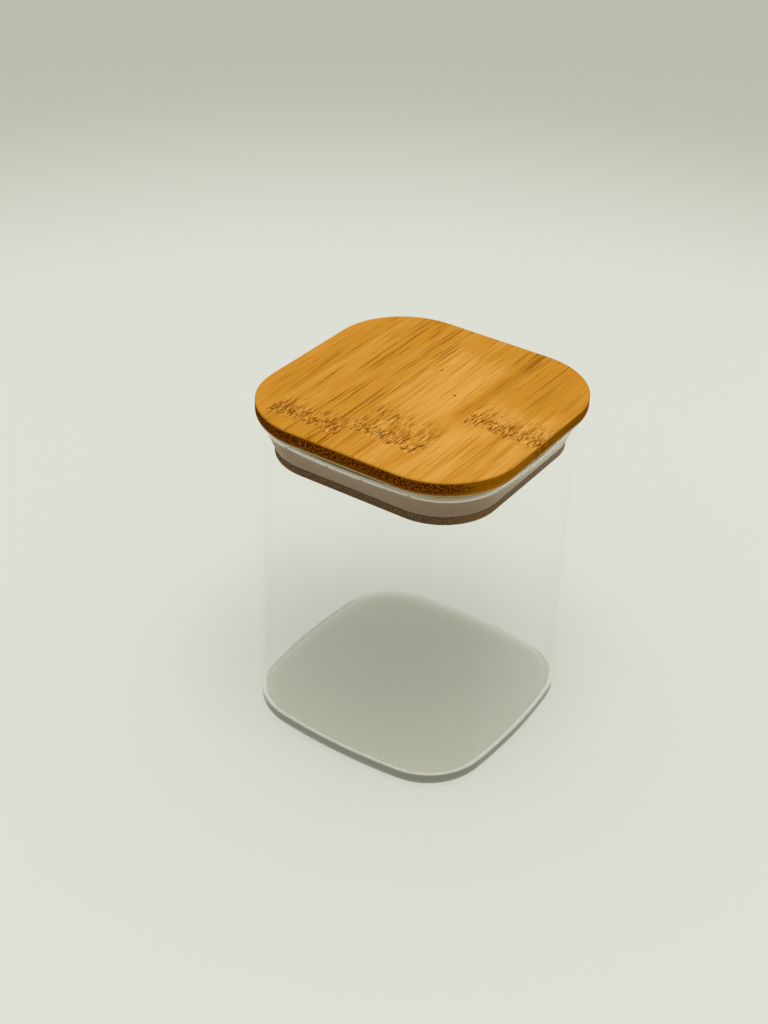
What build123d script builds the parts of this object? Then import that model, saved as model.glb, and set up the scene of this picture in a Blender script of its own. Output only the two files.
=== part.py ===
from build123d import *
import math
import os

# A square glass jar with a bamboo lid. The lid is a cover of edge-glued slats over a plug board,
# and a silicone ring in the plug's groove closes the mouth. Millimetres, +Z up.
# The origin is the middle of the base, on the surface that the jar stands on.
# X runs along the grain of the slats.

# Glass jar
jar_width = 73.6            # over the middles of two opposite sides
jar_height = 93.6           # from the standing face to the top of the rim
jar_corner_radius = 18.8    # of the upright corners, outside
jar_side_radius = 167.0     # of the bowed sides, outside
wall = 1.1
floor_thickness = 3.4
base_round = 3.4            # outside, where the sides turn under
floor_round = 2.2           # inside, where the sides meet the floor
rim_round_share = 0.4       # of the wall

# Cover, the part of the lid that shows from above
cover_overhang = 0.7        # past the jar at the middle of a side
cover_corner_extra = 2.7    # by which the cover's corner radius exceeds the jar's
cover_thickness = 5.8
cover_under_round_share = 0.58      # of the thickness
cover_top_ease = 0.3        # a fine chamfer round the top
front_slat_width = 21.8
back_slat_width = 10.4      # cut down at the back edge of the cover
middle_slats = 2            # of equal width, between those two

# Plug board, glued under the cover
plug_clearance = 3.3        # between the plug and the glass at the middle of a side
plug_depth = 10.0           # below the underside of the cover
plug_foot_height = 2.75     # of the wood below the groove
plug_ease = 0.4
groove_depth = 2.6

# Seal ring, seated in the plug's groove
foot_reach = 0.25           # how far the ring's foot stands out from the plug
shoulder_reach = 0.6        # how far the ring stands out from the plug above the lip
lip_drop = 1.1              # from the underside of the cover to the flat top of the lip
lip_thickness = 0.35
lip_clearance = 0.1         # between the lip and the glass

# Vent nicks across the edge of the lip
nick_width = 0.45
nick_depth = 0.55
nick_height = 0.8
nick_shares = (-0.98, -0.28, 0.28, 0.98)    # from the middle of a side to where its corner begins

overrun = 1.0               # that cuts reach past what they cut

rim_round = rim_round_share * wall
mouth_width = jar_width - 2 * wall

cover_width = jar_width + 2 * cover_overhang
cover_corner_radius = jar_corner_radius + cover_corner_extra
cover_under_round = cover_under_round_share * cover_thickness
cover_underside = jar_height
middle_slat_width = (cover_width - front_slat_width - back_slat_width) / middle_slats

plug_width = mouth_width - 2 * plug_clearance
plug_corner_radius = cover_corner_radius - (cover_width - plug_width) / 2
plug_bottom = cover_underside - plug_depth

seal_bottom = plug_bottom + plug_foot_height
lip_top = cover_underside - lip_drop
lip_bottom = lip_top - lip_thickness
lip_inset = wall + lip_clearance

# The jar's outline is four long side arcs with tangent corner arcs between them. The centre of a
# side arc lies behind the middle of the jar, and that of a corner arc lies on the diagonal.
side_center = jar_side_radius - jar_width / 2
center_distance = jar_side_radius - jar_corner_radius
corner_center = (math.sqrt(2 * center_distance**2 - side_center**2) - side_center) / 2


def corner_start(inset):
    """Where a side arc of the outline, moved inwards, meets its corner arc."""
    angle = math.atan2(corner_center, corner_center + side_center)
    radius = jar_side_radius - inset
    return radius * math.cos(angle) - side_center, radius * math.sin(angle)


def side_reach(inset, offset):
    """How far the bowed side stands out from the middle, at an offset along it."""
    return math.sqrt((jar_side_radius - inset) ** 2 - offset**2) - side_center


def bowed_square(inset):
    """The face inside the jar's outline, moved inwards."""
    x, y = corner_start(inset)
    diagonal = corner_center + (jar_corner_radius - inset) * math.cos(math.pi / 4)
    side = ThreePointArc((x, -y), (side_reach(inset, 0), 0), (x, y))
    corner = ThreePointArc((x, y), (diagonal, diagonal), (y, x))
    return make_face([arc.rotate(Axis.Z, 90 * turn) for turn in range(4) for arc in (side, corner)])


def straight_square(width, corner_radius, growth):
    """The face of a square with round corners, moved outwards by the growth."""
    return RectangleRounded(width + 2 * growth, width + 2 * growth, corner_radius + growth)


def plug_outline(growth):
    return straight_square(plug_width, plug_corner_radius, growth)


def prism(outline, bottom, top):
    """The outline stood up between two heights."""
    return Pos(0, 0, bottom) * extrude(outline, amount=top - bottom)


def lowest_edges(solid):
    return solid.edges().group_by(Axis.Z)[0]


def highest_edges(solid):
    return solid.edges().group_by(Axis.Z)[-1]


def glass_jar():
    """Thin upright walls on a thick floor, with a rounded heel and rim."""
    body = prism(bowed_square(0), 0, jar_height)
    body = fillet(lowest_edges(body), base_round)
    hollow = prism(bowed_square(wall), floor_thickness, jar_height + overrun)
    hollow = fillet(lowest_edges(hollow), floor_round)
    return fillet(highest_edges(body - hollow), rim_round)


def cover_board():
    """The whole cover, before it is divided into slats."""
    outline = straight_square(cover_width, cover_corner_radius, 0)
    board = prism(outline, cover_underside, cover_underside + cover_thickness)
    board = chamfer(highest_edges(board), cover_top_ease)
    return fillet(lowest_edges(board), cover_under_round)


def slat_edges():
    """Where the slats begin and end across the grain, from the front of the cover to the back."""
    first_joint = front_slat_width - cover_width / 2
    joints = [first_joint + number * middle_slat_width for number in range(middle_slats + 1)]
    return [-cover_width / 2 - overrun, *joints, cover_width / 2 + overrun]


def cover_slats():
    """The slats of the cover, each running the whole way along the grain."""
    board = cover_board()
    edges = slat_edges()
    middle = cover_underside + cover_thickness / 2
    slats = []
    for near, far in zip(edges, edges[1:]):
        block = Box(cover_width + 2 * overrun, far - near, cover_thickness + 2 * overrun)
        slats.append(board & (Pos(0, (near + far) / 2, middle) * block))
    return slats


def lid_plug():
    """The board that fills the mouth, with a groove round it for the seal."""
    board = prism(plug_outline(0), plug_bottom, cover_underside)
    board = fillet(lowest_edges(board), plug_ease)
    rim = prism(plug_outline(overrun), seal_bottom, cover_underside)
    core = prism(plug_outline(-groove_depth), seal_bottom, cover_underside)
    return board - (rim - core)


def vent_nicks():
    """Upright slots into the edge of the lip, alike on all four sides."""
    block = Box(2 * nick_depth, nick_width, nick_height + overrun)
    middle = lip_top + overrun - (nick_height + overrun) / 2
    nicks = []
    for share in nick_shares:
        offset = share * corner_start(lip_inset)[1]
        nicks.append(Pos(side_reach(lip_inset, offset), offset, middle) * block)
    return [nick.rotate(Axis.Z, 90 * turn) for turn in range(4) for nick in nicks]


def lid_seal():
    """A ring that seats in the groove and flares from a narrow foot to a wide, flat-topped lip."""
    foot = Pos(0, 0, seal_bottom) * plug_outline(foot_reach)
    wide_end = Pos(0, 0, lip_bottom) * bowed_square(lip_inset)
    flare = loft([foot, wide_end], ruled=True)
    lip = prism(bowed_square(lip_inset), lip_bottom, lip_top)
    shoulder = prism(plug_outline(shoulder_reach), lip_bottom, cover_underside)
    bore = prism(plug_outline(-groove_depth), seal_bottom - overrun, cover_underside + overrun)
    ring = flare + lip + shoulder - bore
    for nick in vent_nicks():
        ring -= nick
    return ring


def main():
    parts = {"glass_jar": glass_jar(), "lid_plug": lid_plug(), "lid_seal": lid_seal()}
    for number, slat in enumerate(cover_slats(), start=1):
        parts[f"cover_slat_{number}"] = slat
    os.makedirs("parts", exist_ok=True)
    for name, shape in parts.items():
        export_step(shape, f"parts/{name}.step")


main()
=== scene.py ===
import math

import bmesh
import bpy
from bpy.props import FloatProperty, FloatVectorProperty, PointerProperty
from mathutils import Matrix, Vector


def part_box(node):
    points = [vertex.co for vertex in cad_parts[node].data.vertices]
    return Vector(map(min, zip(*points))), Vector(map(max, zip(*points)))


# A square glass jar with a lid of glued bamboo slats, a plug board and a silicone seal ring.
# The jar stands on the origin, and X runs along the grain of the slats.

bl_info = {
    "name": "Bamboo Lid Jar",
    "version": (1, 0, 0),
    "blender": (4, 5, 0),
    "location": "View3D > Sidebar > Jar",
    "description": "Dresses a square glass jar and its bamboo lid, and sets the stage for them",
    "category": "Object",
}

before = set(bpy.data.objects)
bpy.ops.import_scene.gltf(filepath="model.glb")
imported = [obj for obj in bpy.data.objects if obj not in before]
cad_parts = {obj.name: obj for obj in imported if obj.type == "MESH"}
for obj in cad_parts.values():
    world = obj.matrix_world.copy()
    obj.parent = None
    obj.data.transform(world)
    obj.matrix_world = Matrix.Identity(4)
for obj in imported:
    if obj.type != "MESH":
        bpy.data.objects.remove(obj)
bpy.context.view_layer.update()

MILLIMETRE = 0.001
WHITE = (1.0, 1.0, 1.0)
BLACK = (0.0, 0.0, 0.0)


def linear(red, green, blue):
    """A colour given as a screen shows it, from 0 to 255, made linear."""
    def straighten(value):
        value /= 255
        return value / 12.92 if value <= 0.04045 else ((value + 0.055) / 1.055) ** 2.4
    return tuple(straighten(value) for value in (red, green, blue))


class Value:
    """A number that varies over a surface. Arithmetic on it adds Math nodes."""

    def __init__(self, paint, socket):
        self.paint = paint
        self.socket = socket

    def _with(self, operation, *others):
        return self.paint.math(operation, self, *others)

    def __add__(self, other):
        return self._with("ADD", other)

    def __radd__(self, other):
        return self._with("ADD", other)

    def __sub__(self, other):
        return self._with("SUBTRACT", other)

    def __rsub__(self, other):
        return self.paint.math("SUBTRACT", other, self)

    def __mul__(self, other):
        return self._with("MULTIPLY", other)

    def __rmul__(self, other):
        return self._with("MULTIPLY", other)

    def __truediv__(self, other):
        return self._with("DIVIDE", other)

    def __pow__(self, other):
        return self._with("POWER", other)

    def __abs__(self):
        return self._with("ABSOLUTE")

    def most(self, other):
        return self._with("MAXIMUM", other)

    def above(self, other):
        return self._with("GREATER_THAN", other)

    def other(self, name):
        """Another output of the node that this comes from."""
        return Value(self.paint, self.socket.node.outputs[name])


class Nodes:
    """The nodes of a material or of the world."""

    def __init__(self, tree):
        self.tree = tree

    def node(self, kind, settings=None, inputs=None, output=0):
        """Any node: its settings first, then what its sockets take."""
        made = self.tree.nodes.new(kind)
        for name, value in (settings or {}).items():
            setattr(made, name, value)
        for name, value in (inputs or {}).items():
            self.feed(made.inputs[name], value)
        return Value(self, made.outputs[output])

    def feed(self, socket, value):
        """Links a value to a socket, or sets the socket to a number or a colour."""
        if isinstance(value, Value):
            self.tree.links.new(value.socket, socket)
        elif isinstance(value, tuple) and socket.type == "RGBA":
            socket.default_value = (*value, 1)
        else:
            socket.default_value = value

    def math(self, operation, *operands):
        return self.node("ShaderNodeMath", {"operation": operation}, dict(enumerate(operands)))

    def rise(self, value, low, high):
        """0 at the low end and beyond it, 1 at the high end, and smooth between them."""
        inputs = {"Value": value, "From Min": low, "From Max": high}
        return self.node("ShaderNodeMapRange", {"interpolation_type": "SMOOTHSTEP"}, inputs)

    def within(self, value, start, full, fade, end):
        """0 up to the start and past the end, and 1 from where it is full to where it fades."""
        return self.rise(value, start, full) * self.rise(value, end, fade)

    def mix(self, share, first, second):
        """One colour where the share is 0, the other where it is 1."""
        settings = {"data_type": "RGBA", "clamp_factor": True}
        return self.node("ShaderNodeMix", settings, {0: share, 6: first, 7: second}, output=2)

    def either(self, share, first, second):
        """One shader where the share is 0, the other where it is 1."""
        return self.node("ShaderNodeMixShader", inputs={0: share, 1: first, 2: second})


class Paint(Nodes):
    """A material and the nodes that feed its surface."""

    def __init__(self, name):
        self.material = bpy.data.materials.new(name)
        self.material.use_nodes = True
        super().__init__(self.material.node_tree)
        self.surface = self.tree.nodes["Principled BSDF"]

    def place(self):
        """The three coordinates on the piece, in millimetres."""
        return [axis / MILLIMETRE for axis in self.axes("Object")]

    def facing(self):
        """How far the surface faces along each axis of the piece, from -1 to 1."""
        return self.axes("Normal")

    def axes(self, coordinate):
        vector = self.node("ShaderNodeTexCoord", output=coordinate)
        apart = self.node("ShaderNodeSeparateXYZ", inputs={"Vector": vector})
        return [apart.other(name) for name in "XYZ"]

    def vector(self, x, y, z):
        return self.node("ShaderNodeCombineXYZ", inputs={"X": x, "Y": y, "Z": z})

    def noise(self, vector, detail=2.0, roughness=0.5, scale=1.0):
        inputs = {"Vector": vector, "Scale": scale, "Detail": detail, "Roughness": roughness}
        return self.node("ShaderNodeTexNoise", inputs=inputs)

    def cells(self, vector):
        """Distance on a plane to the nearest of the scattered points, one to a unit."""
        settings = {"voronoi_dimensions": "2D"}
        inputs = {"Vector": vector, "Scale": 1.0, "Randomness": 1.0}
        return self.node("ShaderNodeTexVoronoi", settings, inputs, output="Distance")

    def bump(self, height, distance):
        inputs = {"Height": height, "Distance": distance, "Strength": 1.0}
        return self.node("ShaderNodeBump", inputs=inputs)

    def set(self, **sockets):
        for name, value in sockets.items():
            self.feed(self.surface.inputs[name.replace("_", " ")], value)

    def put_on(self, piece):
        piece.data.materials.clear()
        piece.data.materials.append(self.material)


class BambooSettings(bpy.types.PropertyGroup):
    """The cover's slats."""

    light: FloatVectorProperty(
        name="Light", description="Bamboo between the fibres", subtype="COLOR", size=3,
        min=0, max=1, default=linear(228, 169, 80))
    middle: FloatVectorProperty(
        name="Middle", description="Most of the bamboo", subtype="COLOR", size=3,
        min=0, max=1, default=linear(205, 139, 36))
    dark: FloatVectorProperty(
        name="Dark", description="Fibres cut lengthwise", subtype="COLOR", size=3,
        min=0, max=1, default=linear(154, 90, 2))
    # The side and end grain tones are partly the bamboo's own darker faces and partly painted shade,
    # as the sides get less light than the top.
    side: FloatVectorProperty(
        name="Side", description="Sides along the grain", subtype="COLOR", size=3,
        min=0, max=1, default=linear(162, 103, 10))
    pin: FloatVectorProperty(
        name="Pin", description="Pin marks and cut fibres", subtype="COLOR", size=3,
        min=0, max=1, default=linear(66, 20, 2))
    end: FloatVectorProperty(
        name="End grain", description="Ends of the slats", subtype="COLOR", size=3,
        min=0, max=1, default=linear(122, 72, 6))
    gloss: FloatProperty(
        name="Roughness", description="Roughness of the lacquer", min=0, max=1, default=0.2)
    # The underside tone is partly bare bamboo and partly a painted reflection of the pale floor and
    # glass beneath the cover's rounded edge.
    below: FloatVectorProperty(
        name="Below", description="Bare bamboo on the underside", subtype="COLOR", size=3,
        min=0, max=1, default=linear(182, 152, 90))
    lacquer: FloatProperty(
        name="Lacquer", description="Weight of the lacquer", subtype="FACTOR", min=0, max=1,
        default=0.2)
    edge_lacquer: FloatProperty(
        name="Lacquer at the edges", description="Weight where the lacquer is seen almost edge on",
        subtype="FACTOR", min=0, max=1, default=1.0)


class PlugSettings(bpy.types.PropertyGroup):
    """The plug board."""

    # All the plug's tones are the bamboo painted darker, as painted shade under the cover.
    light: FloatVectorProperty(
        name="Light", description="Bamboo between the fibres", subtype="COLOR", size=3,
        min=0, max=1, default=linear(118, 80, 10))
    middle: FloatVectorProperty(
        name="Middle", description="Most of the bamboo", subtype="COLOR", size=3,
        min=0, max=1, default=linear(106, 70, 4))
    dark: FloatVectorProperty(
        name="Dark", description="Fibres cut lengthwise", subtype="COLOR", size=3,
        min=0, max=1, default=linear(84, 54, 0))
    pin: FloatVectorProperty(
        name="Pin", description="Cut fibres", subtype="COLOR", size=3,
        min=0, max=1, default=linear(44, 22, 0))
    side: FloatVectorProperty(
        name="Side", description="Sides along the grain", subtype="COLOR", size=3,
        min=0, max=1, default=linear(106, 70, 4))
    end: FloatVectorProperty(
        name="End grain", description="Ends of the fibres", subtype="COLOR", size=3,
        min=0, max=1, default=linear(100, 66, 2))
    gloss: FloatProperty(
        name="Roughness", description="Roughness of the bare wood", min=0, max=1, default=0.6)
    below: FloatVectorProperty(
        name="Below", description="Underside", subtype="COLOR", size=3,
        min=0, max=1, default=linear(106, 70, 4))
    # The line is a painted shadow where the ring's foot shades the plug.
    line: FloatProperty(
        name="Line", description="Height of the dark line where the ring ends, in millimetres",
        min=0, default=86.15)
    lacquer: FloatProperty(
        name="Lacquer", description="Weight of the lacquer", subtype="FACTOR", min=0, max=1,
        default=0.0)
    edge_lacquer: FloatProperty(
        name="Lacquer at the edges", description="Weight where the lacquer is seen almost edge on",
        subtype="FACTOR", min=0, max=1, default=0.0)


class GlassSettings(bpy.types.PropertyGroup):
    """The jar."""

    index: FloatProperty(
        name="Index", description="Index of refraction", min=1, max=2, default=1.5)
    wall_tint: FloatVectorProperty(
        name="Wall tint", description="Colour of the thin wall", subtype="COLOR", size=3,
        min=0, max=1, default=(1.0, 1.0, 0.995))
    # The floor tint is partly the green of thick glass and partly painted shade on the table under
    # the base.
    floor_tint: FloatVectorProperty(
        name="Floor tint", description="Colour of the thick floor", subtype="COLOR", size=3,
        min=0, max=1, default=(0.795, 0.79, 0.708))
    shine: FloatVectorProperty(
        name="Shine", description="Strength of what the glass mirrors", subtype="COLOR", size=3,
        min=0, max=1, default=(0.4, 0.4, 0.4))
    pane: FloatVectorProperty(
        name="Pane", description="Share of the view that one surface of the wall lets by",
        subtype="COLOR", size=3, min=0, max=1, default=(1.0, 1.0, 1.0))
    pane_shine: FloatProperty(
        name="Pane shine", description="Weight of what the wall mirrors", subtype="FACTOR",
        min=0, max=1, default=0.4)
    wall_light: FloatVectorProperty(
        name="Light passed", description="Share of the lamps' light that one surface lets by",
        subtype="COLOR", size=3, min=0, max=1, default=(0.99, 0.99, 0.988))
    foot_light: FloatVectorProperty(
        name="Light passed by the foot", description="Share of the light that gets in between the "
        "flat underside and what it stands on", subtype="COLOR", size=3, min=0, max=1,
        default=(1.0, 1.0, 1.0))
    foot_slant: FloatProperty(
        name="Slant loss", description="Share of the light lost there when it comes in flat",
        subtype="FACTOR", min=0, max=1, default=0.25)
    thin_glass: FloatVectorProperty(
        name="Thin glass", description="Light left after a reflection inside the wall",
        subtype="COLOR", size=3, min=0, max=1, default=(0.95, 0.955, 0.94))
    thick_glass: FloatVectorProperty(
        name="Thick glass", description="Light left after a reflection inside the floor",
        subtype="COLOR", size=3, min=0, max=1, default=(0.85, 0.855, 0.80))


class SealSettings(bpy.types.PropertyGroup):
    """The silicone ring."""

    lip: FloatVectorProperty(
        name="Lip", description="Thin edge against the glass", subtype="COLOR", size=3,
        min=0, max=1, default=linear(252, 247, 230))
    # The top of the lip is darker as painted shade under the cover.
    lip_top: FloatVectorProperty(
        name="Top of the lip", description="Flat face under the cover", subtype="COLOR", size=3,
        min=0, max=1, default=linear(188, 182, 152))
    cone: FloatVectorProperty(
        name="Cone", description="Upper part of the flared face", subtype="COLOR", size=3,
        min=0, max=1, default=linear(138, 110, 76))
    # The glow is painted light, as if light came through the ring from behind towards +X and -Y.
    glow: FloatVectorProperty(
        name="Glow", description="Where light comes through the ring from behind", subtype="COLOR",
        size=3, min=0, max=1, default=linear(196, 182, 152))
    depth: FloatProperty(
        name="Depth", description="How far light goes through the ring", unit="LENGTH",
        min=0, default=0.0015)
    foot: FloatVectorProperty(
        name="Foot", description="Where wood lies close behind it", subtype="COLOR", size=3,
        min=0, max=1, default=linear(129, 102, 67))


class StageSettings(bpy.types.PropertyGroup):
    """Floor, light and camera."""

    floor_radius: FloatProperty(
        name="Floor radius", description="Radius of the round floor", unit="LENGTH",
        min=0.5, default=3.0)
    # Near and far tone make a painted pool of light: the floor paler round the jar, darker further
    # off.
    near_tone: FloatVectorProperty(
        name="Near tone", description="Floor round the jar", subtype="COLOR", size=3,
        min=0, max=1, default=linear(223, 225, 214))
    far_tone: FloatVectorProperty(
        name="Far tone", description="Floor and backdrop far behind", subtype="COLOR", size=3,
        min=0, max=1, default=linear(193, 195, 181))
    room_tone: FloatVectorProperty(
        name="Room tone", description="What glass and lacquer mirror", subtype="COLOR", size=3,
        min=0, max=1, default=linear(140, 142, 132))
    sky: FloatProperty(
        name="Sky", description="Strength of the light from all round", min=0, default=0.865)
    shade: FloatProperty(
        name="Shade in front", description="Share of the sky hidden by whoever looks on",
        subtype="FACTOR", min=0, max=1, default=0.15)
    key_power: FloatProperty(
        name="Key power", description="Power of the light overhead", subtype="POWER",
        min=0, default=6.0)
    key_size: FloatProperty(
        name="Key size", description="Side of the light overhead", unit="LENGTH",
        min=0.05, default=0.9)


GROUPS = {
    "jar_bamboo": BambooSettings,
    "jar_plug": PlugSettings,
    "jar_glass": GlassSettings,
    "jar_seal": SealSettings,
    "jar_stage": StageSettings,
}


NO_KNOT = -400.0            # the node bands of such a strip lie off the cover
KNOT_WIDTH = 4.6


class Slat:
    """What sets one strip of bamboo apart. Places are in millimetres."""

    def __init__(self, number, knot=NO_KNOT, wavy=0.0, tone=0.0, streaky=1.0, patches=(), pins=()):
        self.number = number        # moves the pattern, so that no two strips share one
        self.knot = knot            # where the node band begins along the grain
        self.wavy = wavy            # length of the light ripples after the band
        self.tone = tone            # lighter above 0, darker below
        self.streaky = streaky      # weight of the long streaks
        self.patches = patches      # soft areas: from x, to x, from y, to y, and tone
        self.pins = pins            # x and y of pin marks that stand alone


# The strips of the cover, from the front to the back.
SLATS = {
    "cover_slat_1": Slat(
        0, knot=-6.9, wavy=6.5, tone=0.02, streaky=0.85,
        patches=((9, 40, -37, -14, -0.16), (-12, 5, -34, -20, 0.1), (-7, -2, -37, -15, -0.16),
                 (-40, -8, -22, -16, 0.08))),
    "cover_slat_2": Slat(
        1, knot=-27.2, wavy=10.5, tone=0.03, streaky=0.85,
        patches=((-5, 40, -16.5, -12.8, -0.34), (-9, 24, -12, 4, 0.08), (26, 40, -16, 6, -0.1)),
        pins=((13.0, 2.9), (3.4, -7.3))),
    "cover_slat_3": Slat(
        2, knot=-31.6, wavy=4.0, tone=-0.06, streaky=1.2,
        patches=((-40, -27, 5, 28, -0.12), (20, 40, 18, 28, -0.08))),
    "cover_slat_4": Slat(3, tone=-0.06, streaky=0.8, patches=((-26, -4, 26, 38, -0.08),)),
}
PLUG_BOARD = Slat(5)
STRIP_SHIFT = 47.3          # from the pattern of one strip to that of the next, in millimetres

# Half of the width over which a patch fades in, in millimetres.
FADE_ALONG = 5.0
FADE_ACROSS = 1.25

# Pin marks: cells to a millimetre along and across, the distances from the middle of a cell where a
# mark sets in and is full, and the outer and inner radius of a mark that stands alone.
HOLES_ALONG = 0.28
HOLES_ACROSS = 0.36
HOLE_LIMITS = (0.10, 0.05)
PIN_LIMITS = (0.384, 0.192)

# The values of the noise at which a mark sets in and is full.
THIN_LIMITS = (0.55, 0.62)
CLUMP_LIMITS = (0.40, 0.54)
WIDE_LIMITS = (0.58, 0.70)
PALE_LIMITS = (0.42, 0.34)
STROKE_LIMITS = (0.54, 0.60)
FLECK_LIMITS = (0.46, 0.38)
CURL_LIMITS = (0.56, 0.62)
GLEAM_LIMITS = (0.44, 0.36)

# The tones between which the middle colour gives way to the light one or the dark one, and the
# colour of a side to that of the end grain.
MEAN_TONE = 0.70
LIGHT_LIMITS = (0.55, 1.0)
DARK_LIMITS = (0.55, 0.08)
SIDE_LIMITS = (0.75, 0.0)

# How far a face looks up, down or along X, from where it doesn't count as what the name says to
# where it does. The last is how far it is seen edge on.
TOP_FACING = (0.5, 0.9)
SIDE_FACING = (0.75, 0.5)
END_FACING = (0.35, 0.85)
BELOW_FACING = (0.3, 0.7)
LACQUER_FACING = (0.75, 0.95)
EDGE_FACING = (0.15, 0.45)
EDGE_SLANT = (0.6, 0.85)

# Heights on the cover's side, in millimetres: the dense fibres in its middle, and the paler top of
# the ends, a painted highlight.
SKIN_HEIGHTS = (96.0, 97.2, 98.2, 99.3)
HIGHLIGHT_HEIGHTS = (98.5, 99.2)

DOTS_TO_MILLIMETRE = 1.75   # cut ends of fibres
DOT_LIMITS = (0.50, 0.20)   # the distances from a dot's middle where it sets in and is full
# the dark line is a painted shadow under the ring's foot
SHADOW_LINE_LIMITS = (0.3, 0.15)   # the same from the middle of a dark line, in millimetres
BAMBOO_RELIEF = 0.16        # millimetres


def patch(paint, x, y, edges):
    """1 inside a rectangle with soft edges, 0 outside."""
    low_x, high_x, low_y, high_y = edges
    along = paint.within(
        x, low_x - FADE_ALONG, low_x + FADE_ALONG, high_x - FADE_ALONG, high_x + FADE_ALONG)
    across = paint.within(
        y, low_y - FADE_ACROSS, low_y + FADE_ACROSS, high_y - FADE_ACROSS, high_y + FADE_ACROSS)
    return along * across


def bamboo(name, slat, tones, line=None):
    """Bamboo whose fibres run along X: streaks on a face along them, dots where they are cut across.

    The line is the height of a painted shadow line round the side, cast by the ring's foot, in
    millimetres.
    """
    paint = Paint(name)
    x, y, z = paint.place()
    face_x, _, upwards = paint.facing()
    face_x, face_z = abs(face_x), abs(upwards)
    shift = STRIP_SHIFT * slat.number
    away = y + shift

    def grain(along, across, detail=2.0, roughness=0.5, lean=0.0):
        """Noise drawn out along the fibres: waves to a millimetre along and across them."""
        vector = paint.vector((x + shift) * along, (away + lean) * across, z * across)
        return paint.noise(vector, detail, roughness)

    # the node band, the ripples after it and the straight fibres beyond
    wander = (paint.noise(paint.vector(shift, y * 0.5, 0.0)) - 0.5) * 5.0
    past = x - slat.knot - wander
    knot = paint.within(past, -0.5, 0.5, KNOT_WIDTH - 1.0, KNOT_WIDTH + 1.2)
    wavy_end = KNOT_WIDTH + slat.wavy
    wavy = paint.within(past, KNOT_WIDTH - 2.0, KNOT_WIDTH, wavy_end - 3.0, wavy_end + 3.0)
    sway = paint.noise(paint.vector((x + shift) * 0.55, away * 0.7, z * 0.7)) - 0.5
    sway = sway * (knot + wavy) * 1.3

    # long fibres
    fine = grain(0.07, 3.6, detail=3.0, roughness=0.6, lean=sway)
    thin = grain(0.05, 2.3, detail=1.0, lean=sway)
    wide = grain(0.025, 1.05, lean=sway)
    broad = grain(0.012, 0.16)
    clumps = grain(0.04, 0.35, detail=1.0)
    thin_streaks = paint.rise(thin, *THIN_LIMITS) * paint.rise(clumps, *CLUMP_LIMITS)
    wide_streaks = paint.rise(wide, *WIDE_LIMITS)
    pale_streaks = paint.rise(thin, *PALE_LIMITS)
    streaks = (thin_streaks * 0.34 + wide_streaks * 0.16) * slat.streaky * (1 - knot * 0.7)

    # short strokes in the band and the ripples
    blots = grain(0.42, 1.9, detail=1.0)
    strokes = paint.rise(blots, *STROKE_LIMITS) * knot
    flecks = paint.rise(blots, *FLECK_LIMITS) * knot
    ripples = grain(0.30, 2.3, detail=1.0)
    curls = paint.rise(ripples, *CURL_LIMITS) * wavy
    gleams = paint.rise(ripples, *GLEAM_LIMITS) * wavy

    # pin marks
    holes = paint.cells(paint.vector((x + shift) * HOLES_ALONG, away * HOLES_ACROSS, 0.0))
    holes = paint.rise(holes, *HOLE_LIMITS) * knot * paint.rise(face_z, *TOP_FACING)
    for pin_x, pin_y in slat.pins:
        off = ((x - pin_x) ** 2 + (y - pin_y) ** 2) ** 0.5
        holes = holes.most(paint.rise(off, *PIN_LIMITS))

    tone = MEAN_TONE + slat.tone + (broad - 0.5) * 0.55 - (fine - 0.5) * 0.6 - knot * 0.08
    for *edges, depth in slat.patches:
        tone = tone + patch(paint, x, y, edges) * depth
    height = fine * 0.3

    # each mark, what it adds to the tone and what it adds to the height
    marks = (
        (streaks, -1.0, -0.6),
        (pale_streaks, 0.1, 0.2),
        (strokes, -0.8, -0.8),
        (flecks, 0.55, 0.7),
        (curls, -0.45, -0.5),
        (gleams, 0.25, 0.5),
        (holes, 0.0, -1.2),
    )
    for mark, lighter, higher in marks:
        tone = tone + mark * lighter
        height = height + mark * higher

    colour = paint.mix(paint.rise(tone, *LIGHT_LIMITS), tones.middle[:], tones.light[:])
    colour = paint.mix(paint.rise(tone, *DARK_LIMITS), colour, tones.dark[:])
    colour = paint.mix(holes, colour, tones.pin[:])

    # long sides, then the ends of the fibres, with a darker middle; the side and end tones are
    # partly painted shade
    side = paint.rise(face_z, *SIDE_FACING)
    skin = paint.within(z, *SKIN_HEIGHTS)
    worn = paint.rise(tone - skin * 0.35, *SIDE_LIMITS)
    colour = paint.mix(side, colour, paint.mix(worn, tones.side[:], tones.end[:]))
    dots = paint.cells(paint.vector(away * DOTS_TO_MILLIMETRE, z * DOTS_TO_MILLIMETRE, 0.0))
    end_tone = paint.mix(paint.rise(dots - skin * 0.12, *DOT_LIMITS), tones.end[:], tones.pin[:])
    # painted highlight along the top of the ends
    end_tone = paint.mix(paint.rise(z, *HIGHLIGHT_HEIGHTS), end_tone, tones.side[:])
    colour = paint.mix(side * paint.rise(face_x, *END_FACING), colour, end_tone)
    # painted shadow: a dark line round the side where the ring's foot shades the plug
    if line is not None:
        colour = paint.mix(paint.rise(abs(z - line), *SHADOW_LINE_LIMITS) * side, colour, tones.pin[:])
    # the underside: partly bare bamboo, partly a painted reflection of the pale floor and glass
    # below
    downwards = upwards * -1
    colour = paint.mix(paint.rise(downwards, *BELOW_FACING), colour, tones.below[:])

    # lacquer on top, and where the rounded underside is seen almost edge on
    slant = paint.node("ShaderNodeLayerWeight", inputs={"Blend": 0.5}, output="Facing")
    lacquer = paint.rise(face_z, *LACQUER_FACING) * tones.lacquer
    edge = paint.rise(slant, *EDGE_SLANT) * paint.rise(downwards, *EDGE_FACING)
    lacquer = lacquer.most(edge * tones.edge_lacquer)

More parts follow.
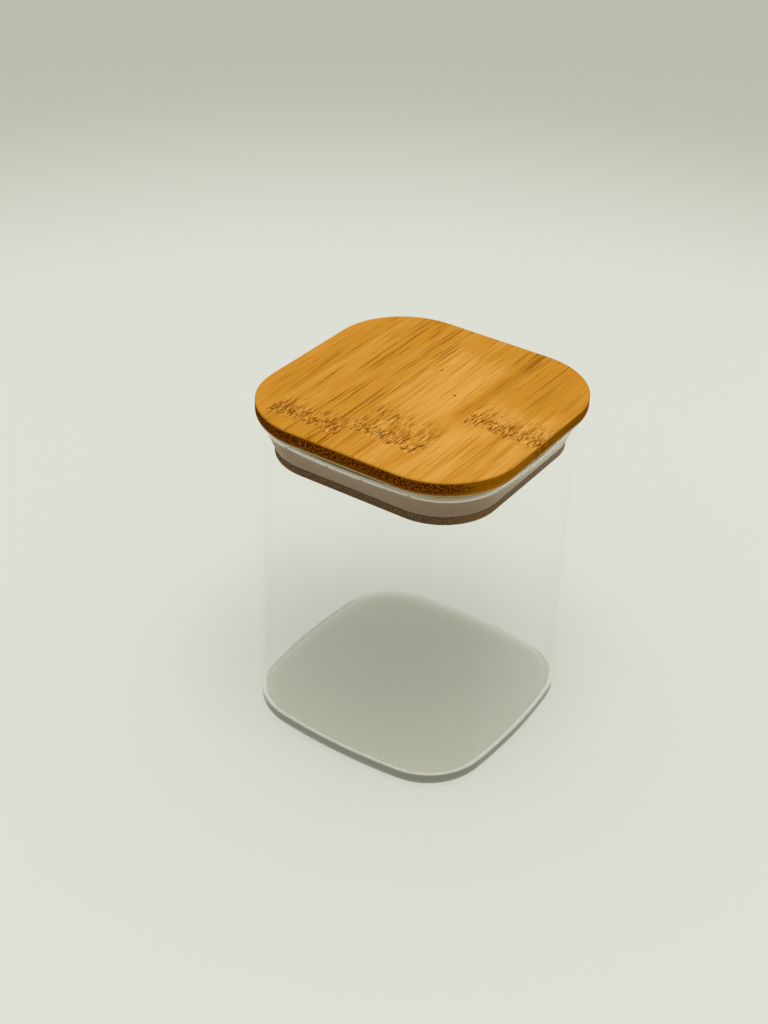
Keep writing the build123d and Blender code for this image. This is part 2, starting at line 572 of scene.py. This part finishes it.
    paint.set(Base_Color=colour, Roughness=0.4 + streaks * 0.4 + holes * 0.3)
    paint.set(Specular_IOR_Level=0.0, Coat_Weight=lacquer, Coat_Roughness=tones.gloss)
    paint.set(Normal=paint.bump(height, BAMBOO_RELIEF * MILLIMETRE))
    return paint


class JAR_OT_cover(bpy.types.Operator):
    """Gives each slat of the cover its bamboo"""

    bl_idname = "jar.cover"
    bl_label = "Cover slats"

    def execute(self, context):
        tones = context.scene.jar_bamboo
        for node, slat in SLATS.items():
            bamboo(node, slat, tones).put_on(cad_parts[node])
        return {"FINISHED"}


class JAR_OT_plug(bpy.types.Operator):
    """Gives the plug board its unlacquered bamboo"""

    bl_idname = "jar.plug"
    bl_label = "Plug board"

    def execute(self, context):
        tones = context.scene.jar_plug
        # the plug's darker tones are painted shade under the cover, and its line a painted shadow of
        # the ring's foot
        bamboo("lid_plug", PLUG_BOARD, tones, tones.line).put_on(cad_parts["lid_plug"])
        return {"FINISHED"}


# The seal ring, in millimetres.
LIP_DROP = 1.1              # from the top of the ring to the top of its lip
LIP_THICKNESS = 0.35
CONE_HEIGHT = 6.15          # from the foot of the ring to the top of its lip
# painted light: the ring is painted paler towards +X and -Y, as if lit through from behind
GLOW_LIMITS = (12.0, 50.0)  # how far towards +X and -Y the light comes through
GLOW_SHARE = 0.8
LIP_TOP_FACING = (0.5, 0.8)
SEAL_RELIEF = 0.02


class JAR_OT_seal(bpy.types.Operator):
    """Gives the seal ring its milky silicone"""

    bl_idname = "jar.seal"
    bl_label = "Seal ring"

    def execute(self, context):
        tones = context.scene.jar_seal
        lip_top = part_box("lid_seal")[1].z / MILLIMETRE - LIP_DROP
        paint = Paint("silicone")
        x, y, z = paint.place()
        upwards = paint.facing()[2]
        lip_bottom = lip_top - LIP_THICKNESS
        lip = paint.rise(z, lip_bottom - 0.15, lip_bottom + 0.1)
        rise = paint.rise(z, lip_top - CONE_HEIGHT, lip_bottom)
        cloud = paint.noise(paint.vector(x, y, z * 2.0), scale=0.35) - 0.5
        colour = paint.mix(rise + cloud * 0.4, tones.foot[:], tones.cone[:])
        # painted light: paler towards +X and -Y, as if light came through the ring from behind
        colour = paint.mix(paint.rise(x - y, *GLOW_LIMITS) * GLOW_SHARE, colour, tones.glow[:])
        # the lip's upward face is darker, painted shade under the cover
        edge = paint.mix(paint.rise(upwards, *LIP_TOP_FACING), tones.lip[:], tones.lip_top[:])
        colour = paint.mix(lip, colour, edge)
        specks = paint.noise(paint.vector(x, y, z), roughness=0.6, scale=4.0) - 0.5
        paint.set(Base_Color=colour, Roughness=0.42 + specks * 0.3, IOR=1.41)
        paint.set(Subsurface_Weight=1.0, Subsurface_Scale=tones.depth)
        paint.set(Subsurface_Radius=(1.0, 1.0, 0.9))
        paint.set(Normal=paint.bump(specks, SEAL_RELIEF * MILLIMETRE))
        paint.put_on(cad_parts["lid_seal"])
        return {"FINISHED"}


# Light that has been reflected inside the glass more often than this leaves it, so that no ray ends
# in the dark there.
MOST_REFLECTIONS = 0.5

# Heights in millimetres. The wall is too thin to bend the view, so between its two ends it is a
# pane, while the floor, the heel and a share of the rim bend what shows through them.
HEEL_TOP = 3.2              # where the heel has turned into the side
THICK_GLASS = (4.3, 3.7)    # from the thin wall down to the thick floor
PANE_START = (5.2, 6.4)     # above the round where the wall meets the floor
RIM_START = (92.5, 92.9)    # where the round of the rim begins
RIM_SHARE = 0.3             # of the view, bent by the rim
HEEL_FACING = (0.45, 0.75)  # how far a face looks down where it passes light as the foot does

# What one surface of glass mirrors: this share straight on, and all when seen edge on.
STRAIGHT_ON = 0.04
EDGE_ON_POWER = 5


class JAR_OT_glass(bpy.types.Operator):
    """Gives the jar its clear glass"""

    bl_idname = "jar.glass"
    bl_label = "Glass jar"

    def execute(self, context):
        glass = context.scene.jar_glass
        paint = Paint("clear_glass")
        z, face_z = paint.place()[2], paint.facing()[2]
        thickness = paint.rise(z, *THICK_GLASS)
        # the floor tint is partly thick glass and partly painted shade on the table under the base
        colour = paint.mix(thickness, glass.wall_tint[:], glass.floor_tint[:])
        paint.set(Base_Color=colour, Roughness=0.0, IOR=glass.index, Transmission_Weight=1.0)
        paint.set(Specular_Tint=glass.shine[:])
        ray = paint.node("ShaderNodeLightPath")
        lighting = ray.other("Is Shadow Ray").most(ray.other("Is Diffuse Ray"))
        trapped = ray.other("Glossy Depth").above(MOST_REFLECTIONS)
        tints = (glass.wall_light, glass.foot_light, BLACK, glass.thin_glass, glass.thick_glass,
                 glass.pane)
        wall, foot, dark, thin, thick, pane = (
            paint.node("ShaderNodeBsdfTransparent", inputs={"Color": tint[:]}) for tint in tints)
        under = paint.rise(-1 * face_z, *HEEL_FACING) * (1 - z.above(HEEL_TOP))
        slant = paint.node("ShaderNodeLayerWeight", inputs={"Blend": 0.5}, output="Facing")
        foot = paint.either(slant * glass.foot_slant, foot, dark)
        clear = paint.either(under * lighting, wall, foot)
        inner = paint.either(thickness, thin, thick)
        mirror = paint.node(
            "ShaderNodeBsdfAnisotropic", inputs={"Color": WHITE, "Roughness": 0.0})
        mirrored = slant ** EDGE_ON_POWER * (1 - STRAIGHT_ON) + STRAIGHT_ON
        pane = paint.either(mirrored * glass.pane_shine, pane, mirror)
        window = paint.rise(z, *PANE_START) * (1 - paint.rise(z, *RIM_START) * RIM_SHARE)

        # a view that was bent on its way into the glass is bent on its way out, and no other
        inside = paint.node("ShaderNodeNewGeometry", output="Backfacing")
        straight = 1 - paint.math("MODULO", ray.other("Transmission Depth"), 2.0)
        window = window + (straight - window) * inside
        body = paint.either(window, Value(paint, paint.surface.outputs[0]), pane)
        body = paint.either(trapped, body, inner)
        mixed = paint.either(lighting, body, clear)
        paint.feed(paint.tree.nodes["Material Output"].inputs["Surface"], mixed)
        paint.put_on(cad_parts["glass_jar"])
        return {"FINISHED"}


# The camera, as found from the outline of the square lid: metres, the roll in degrees, and the
# lens and the sensor in millimetres.
CAMERA_PLACE = (-0.3193, -0.1977, 0.3089)
CAMERA_DIRECTION = (0.69908, 0.45683, -0.55009)
CAMERA_ROLL = 2.318
CAMERA_LENS = 57.89
SENSOR_LONG_SIDE = 36.0
NEAREST_SEEN = 0.01
FARTHEST_SEEN = 20.0

# The rest of the stage, in metres.
KEY_DIRECTION = (-0.16, -0.15, 1.0)
KEY_DISTANCE = 1.6
FLOOR_GAP = 0.00015         # between the floor and the jar that stands on it
FLOOR_SIDES = 96
# painted pool of light: the floor's colour darkens away from the jar
LIGHT_POOL_START = 0.27           # from the jar to where the light floor begins to darken
LIGHT_POOL_END = 0.56
SHADE_LIMITS = (-0.2, 0.9)  # how far a direction points back at the camera as the sky darkens


class JAR_OT_stage(bpy.types.Operator):
    """Makes the floor, the light and the camera"""

    bl_idname = "jar.stage"
    bl_label = "Stage"

    def execute(self, context):
        stage = context.scene.jar_stage
        self.floor(stage)
        self.sky(context.scene, stage)
        self.key(context.scene, stage)
        self.camera(context.scene)
        context.scene.view_settings.view_transform = "Standard"
        return {"FINISHED"}

    def floor(self, stage):
        mesh = bpy.data.meshes.new("floor")
        shape = bmesh.new()
        bmesh.ops.create_circle(shape, cap_ends=True, segments=FLOOR_SIDES,
                                radius=stage.floor_radius)
        bmesh.ops.translate(shape, verts=shape.verts, vec=(0, 0, -FLOOR_GAP))
        shape.to_mesh(mesh)
        shape.free()
        floor = bpy.data.objects.new("floor", mesh)
        bpy.context.scene.collection.objects.link(floor)
        paint = Paint("floor")
        x, y, _ = paint.place()
        distance = (x * x + y * y) ** 0.5 * MILLIMETRE
        # painted pool of light: the floor darkens away from the jar
        far = paint.rise(distance, LIGHT_POOL_START, LIGHT_POOL_END)
        paint.set(Base_Color=paint.mix(far, stage.near_tone[:], stage.far_tone[:]), Roughness=0.9)
        paint.set(Specular_IOR_Level=0.1)
        paint.put_on(floor)

    def sky(self, scene, stage):
        world = bpy.data.worlds.new("sky")
        world.use_nodes = True
        scene.world = world
        nodes = Nodes(world.node_tree)
        towards = nodes.node("ShaderNodeTexCoord", output="Generated")
        inputs = {0: towards, 1: tuple(-axis for axis in CAMERA_DIRECTION)}
        settings = {"operation": "DOT_PRODUCT"}
        front = nodes.node("ShaderNodeVectorMath", settings, inputs, output="Value")
        strength = stage.sky * (1 - nodes.rise(front, *SHADE_LIMITS) * stage.shade)
        light = nodes.node("ShaderNodeBackground", inputs={"Color": WHITE, "Strength": strength})
        ray = nodes.node("ShaderNodeLightPath")
        tone = nodes.mix(ray.other("Is Glossy Ray"), stage.far_tone[:], stage.room_tone[:])
        tone = nodes.mix(ray.other("Is Transmission Ray"), tone, stage.near_tone[:])
        seen = nodes.node("ShaderNodeBackground", inputs={"Color": tone, "Strength": 1.0})
        shown = ray.other("Is Camera Ray").most(ray.other("Is Glossy Ray"))
        shown = shown.most(ray.other("Is Transmission Ray"))
        surface = world.node_tree.nodes["World Output"].inputs["Surface"]
        nodes.feed(surface, nodes.either(shown, light, seen))

    def key(self, scene, stage):
        lamp = bpy.data.lights.new("key", "AREA")
        lamp.shape = "DISK"
        lamp.size = stage.key_size
        lamp.energy = stage.key_power
        key = bpy.data.objects.new("key", lamp)
        scene.collection.objects.link(key)
        direction = Vector(KEY_DIRECTION).normalized()
        key.rotation_mode = "QUATERNION"
        key.rotation_quaternion = direction.to_track_quat("Z", "Y")
        key.location = direction * KEY_DISTANCE

    def camera(self, scene):
        lens = bpy.data.cameras.new("camera")
        lens.sensor_width = SENSOR_LONG_SIDE
        lens.lens = CAMERA_LENS
        lens.clip_start = NEAREST_SEEN
        lens.clip_end = FARTHEST_SEEN
        camera = bpy.data.objects.new("camera", lens)
        scene.collection.objects.link(camera)
        turn = Vector(CAMERA_DIRECTION).to_track_quat("-Z", "Y").to_matrix()
        roll = Matrix.Rotation(math.radians(CAMERA_ROLL), 3, "Z")
        camera.matrix_world = Matrix.Translation(CAMERA_PLACE) @ (turn @ roll).to_4x4()
        scene.camera = camera


class JAR_PT_panel(bpy.types.Panel):
    """Lists the jar's settings and the steps that dress it"""

    bl_idname = "JAR_PT_panel"
    bl_label = "Bamboo Lid Jar"
    bl_space_type = "VIEW_3D"
    bl_region_type = "UI"
    bl_category = "Jar"

    def draw(self, context):
        for name, group in GROUPS.items():
            box = self.layout.box()
            box.label(text=group.__doc__)
            for setting in group.__annotations__:
                box.prop(getattr(context.scene, name), setting)
        for step in STEPS:
            self.layout.operator(step.bl_idname)


STEPS = (JAR_OT_cover, JAR_OT_plug, JAR_OT_seal, JAR_OT_glass, JAR_OT_stage)


def register():
    for one in (*GROUPS.values(), *STEPS, JAR_PT_panel):
        bpy.utils.register_class(one)
    for name, group in GROUPS.items():
        setattr(bpy.types.Scene, name, PointerProperty(type=group))


def unregister():
    for name in GROUPS:
        delattr(bpy.types.Scene, name)
    for one in reversed((*GROUPS.values(), *STEPS, JAR_PT_panel)):
        bpy.utils.unregister_class(one)


def main():
    register()
    for step in STEPS:
        group, name = step.bl_idname.split(".")
        getattr(getattr(bpy.ops, group), name)()


if __name__ == "__main__":
    main()
